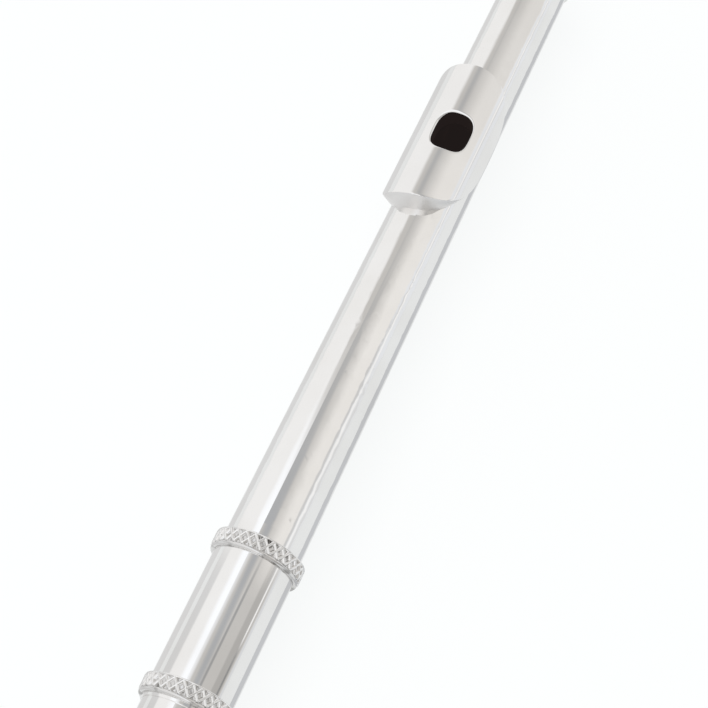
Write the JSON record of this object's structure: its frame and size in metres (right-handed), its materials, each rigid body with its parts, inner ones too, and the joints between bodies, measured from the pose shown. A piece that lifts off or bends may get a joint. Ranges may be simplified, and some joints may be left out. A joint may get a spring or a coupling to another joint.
{
  "type": "concert flute",
  "caption": "Silver-plated concert flute: tapered headjoint with lip plate, ringed barrel, closed-cup keywork on drawn tone holes, and a foot joint with a roller.",
  "frame": {"origin": "centre of the bore at the foot joint's open end", "axes": "+X along the bore to the crown, +Z the side of the embouchure hole and main cups, +Y the player's side"},
  "size_m": [0.678, 0.0436, 0.0405],
  "materials": {
    "silver_plate": "polished silver plate, lightly tarnished",
    "pad_skin": "felt under a thin skin",
    "steel": "drawn steel",
    "blued_spring": "blued steel",
    "cork": "natural cork",
    "brass": "turned brass"
  },
  "bodies": {
    "body": {"body_tube": "silver_plate", "barrel": "silver_plate", "barrel_ring_lower": "silver_plate", "barrel_ring_upper": "silver_plate", "main_rib": "silver_plate", "side_rib": "silver_plate", "body_springs": "blued_spring", "main_posts": "silver_plate", "trill_posts": "silver_plate", "gsharp_posts": "silver_plate", "thumb_posts": "silver_plate", "lower_steel": "steel", "upper_steel": "steel", "gsharp_steel": "steel", "thumb_steel": "steel"},
    "headjoint": {"headjoint_tube": "silver_plate", "lip_plate": "silver_plate", "embouchure_riser": "silver_plate"},
    "stopper": {"stopper_front_plate": "silver_plate", "stopper_cork": "cork", "stopper_screw": "brass", "stopper_nut": "brass"},
    "crown": {"crown": "silver_plate"},
    "foot": {"foot_tube": "silver_plate", "foot_socket_ring": "silver_plate", "foot_springs": "blued_spring", "foot_posts": "silver_plate"},
    "foot_roller": {"foot_roller": "silver_plate"},
    "d_key": {"d_key": "silver_plate", "d_pad": "pad_skin"},
    "e_key": {"e_key": "silver_plate", "e_pad": "pad_skin"},
    "f_key": {"f_key": "silver_plate", "f_pad": "pad_skin"},
    "fsharp_key": {"fsharp_key": "silver_plate", "fsharp_pad": "pad_skin"},
    "g_key": {"g_key": "silver_plate", "g_pad": "pad_skin"},
    "a_key": {"a_key": "silver_plate", "a_pad": "pad_skin"},
    "bflat_key": {"bflat_key": "silver_plate", "bflat_pad": "pad_skin"},
    "csharp_key": {"csharp_key": "silver_plate", "csharp_pad": "pad_skin"},
    "gsharp_key": {"gsharp_key": "silver_plate", "gsharp_pad": "pad_skin"},
    "thumb_b_key": {"thumb_b_key": "silver_plate", "thumb_b_pad": "pad_skin"},
    "thumb_bflat_lever": {"thumb_bflat_lever": "silver_plate"},
    "d_trill_key": {"d_trill_key": "silver_plate", "d_trill_pad": "pad_skin"},
    "dsharp_trill_key": {"dsharp_trill_key": "silver_plate", "dsharp_trill_pad": "pad_skin"},
    "foot_dsharp_key": {"foot_dsharp_key": "silver_plate", "foot_dsharp_pad": "pad_skin"},
    "foot_csharp_key": {"foot_csharp_key": "silver_plate", "foot_csharp_pad": "pad_skin"},
    "foot_c_key": {"foot_c_key": "silver_plate", "foot_c_pad": "pad_skin"}
  },
  "joints": [
    {"name": "headjoint_slide", "type": "slide", "parent": "body", "child": "headjoint", "axis": [1, 0, 0], "range_m": [-0.0035, 0.04]},
    {"name": "crown_turn", "type": "hinge", "parent": "headjoint", "child": "crown", "pos_m": [0.667, 0, 0], "axis": [1, 0, 0], "range_deg": [-720, 720]},
    {"name": "stopper_slide", "type": "slide", "parent": "headjoint", "child": "stopper", "axis": [1, 0, 0], "range_m": [-0.002, 0.002]},
    {"name": "footjoint_twist", "type": "hinge", "parent": "body", "child": "foot", "pos_m": [0.126, 0, 0], "axis": [1, 0, 0], "continuous": true},
    {"name": "d_key_hinge", "type": "hinge", "parent": "body", "child": "d_key", "pos_m": [0.138, 0.01436, 0.0061], "axis": [-1, 0, 0], "range_deg": [-9.59, 0], "stiffness_Nm_per_rad": 0.02, "springref_deg": 20.05},
    {"name": "e_key_hinge", "type": "hinge", "parent": "body", "child": "e_key", "pos_m": [0.1643, 0.01436, 0.0061], "axis": [-1, 0, 0], "range_deg": [-9.59, 0], "stiffness_Nm_per_rad": 0.02, "springref_deg": 20.05},
    {"name": "f_key_hinge", "type": "hinge", "parent": "body", "child": "f_key", "pos_m": [0.1918, 0.01436, 0.0061], "axis": [-1, 0, 0], "range_deg": [-9.59, 0], "stiffness_Nm_per_rad": 0.02, "springref_deg": 20.05},
    {"name": "fsharp_key_hinge", "type": "hinge", "parent": "body", "child": "fsharp_key", "pos_m": [0.2178, 0.01436, 0.0061], "axis": [-1, 0, 0], "range_deg": [-9.59, 0], "stiffness_Nm_per_rad": 0.02, "springref_deg": 20.05},
    {"name": "g_key_hinge", "type": "hinge", "parent": "body", "child": "g_key", "pos_m": [0.2424, 0.01436, 0.0061], "axis": [-1, 0, 0], "range_deg": [-9.59, 0], "stiffness_Nm_per_rad": 0.02, "springref_deg": 20.05},
    {"name": "a_key_hinge", "type": "hinge", "parent": "body", "child": "a_key", "pos_m": [0.2874, 0.01436, 0.0061], "axis": [-1, 0, 0], "range_deg": [-9.59, 0], "stiffness_Nm_per_rad": 0.02, "springref_deg": 20.05},
    {"name": "bflat_key_hinge", "type": "hinge", "parent": "body", "child": "bflat_key", "pos_m": [0.308, 0.01436, 0.0061], "axis": [-1, 0, 0], "range_deg": [-9.59, 0], "stiffness_Nm_per_rad": 0.02, "springref_deg": 20.05},
    {"name": "csharp_key_hinge", "type": "hinge", "parent": "body", "child": "csharp_key", "pos_m": [0.353, 0.01436, 0.0061], "axis": [-1, 0, 0], "range_deg": [-9.59, 0], "stiffness_Nm_per_rad": 0.02, "springref_deg": 20.05},
    {"name": "gsharp_key_hinge", "type": "hinge", "parent": "body", "child": "gsharp_key", "pos_m": [0.253, 0.01927, 0.00361], "axis": [1, 0, 0], "range_deg": [0, 7.57], "stiffness_Nm_per_rad": 0.02, "springref_deg": -20.05},
    {"name": "thumb_b_key_hinge", "type": "hinge", "parent": "body", "child": "thumb_b_key", "pos_m": [0.3275, -0.00939, -0.01246], "axis": [-1, 0, 0], "range_deg": [-9.59, 0], "stiffness_Nm_per_rad": 0.02, "springref_deg": 20.05},
    {"name": "thumb_bflat_lever_hinge", "type": "hinge", "parent": "body", "child": "thumb_bflat_lever", "pos_m": [0.3275, -0.00939, -0.01246], "axis": [-1, 0, 0], "range_deg": [-9.59, 0], "stiffness_Nm_per_rad": 0.02, "springref_deg": 20.05},
    {"name": "d_trill_key_hinge", "type": "hinge", "parent": "body", "child": "d_trill_key", "pos_m": [0.372, 0.01584, -0.00139], "axis": [-1, 0, 0], "range_deg": [0, 7.18], "stiffness_Nm_per_rad": 0.02, "springref_deg": -20.05},
    {"name": "dsharp_trill_key_hinge", "type": "hinge", "parent": "body", "child": "dsharp_trill_key", "pos_m": [0.389, 0.01584, -0.00139], "axis": [-1, 0, 0], "range_deg": [0, 7.18], "stiffness_Nm_per_rad": 0.02, "springref_deg": -20.05},
    {"name": "foot_dsharp_key_hinge", "type": "hinge", "parent": "foot", "child": "foot_dsharp_key", "pos_m": [0.103, 0, 0.0154], "axis": [-1, 0, 0], "range_deg": [0, 12.43], "stiffness_Nm_per_rad": 0.02, "springref_deg": -20.05},
    {"name": "foot_csharp_key_hinge", "type": "hinge", "parent": "foot", "child": "foot_csharp_key", "pos_m": [0.0715, 0, 0.0154], "axis": [1, 0, 0], "range_deg": [-12.43, 0], "stiffness_Nm_per_rad": 0.02, "springref_deg": 20.05},
    {"name": "foot_c_key_hinge", "type": "hinge", "parent": "foot", "child": "foot_c_key", "pos_m": [0.0368, 0, 0.0154], "axis": [1, 0, 0], "range_deg": [-12.43, 0], "stiffness_Nm_per_rad": 0.02, "springref_deg": 20.05},
    {"name": "foot_roller_spin", "type": "hinge", "parent": "foot_c_key", "child": "foot_roller", "pos_m": [0.0972, 0.01432, 0.01641], "axis": [0, 0.9766, 0.2153], "continuous": true}
  ],
  "couplings": [
    {"joint": "stopper_slide", "follows": "crown_turn", "m_per_rad": 0.00015915},
    {"joint": "bflat_key_hinge", "follows": "a_key_hinge", "ratio": 1},
    {"joint": "fsharp_key_hinge", "follows": "f_key_hinge", "ratio": 1}
  ]
}
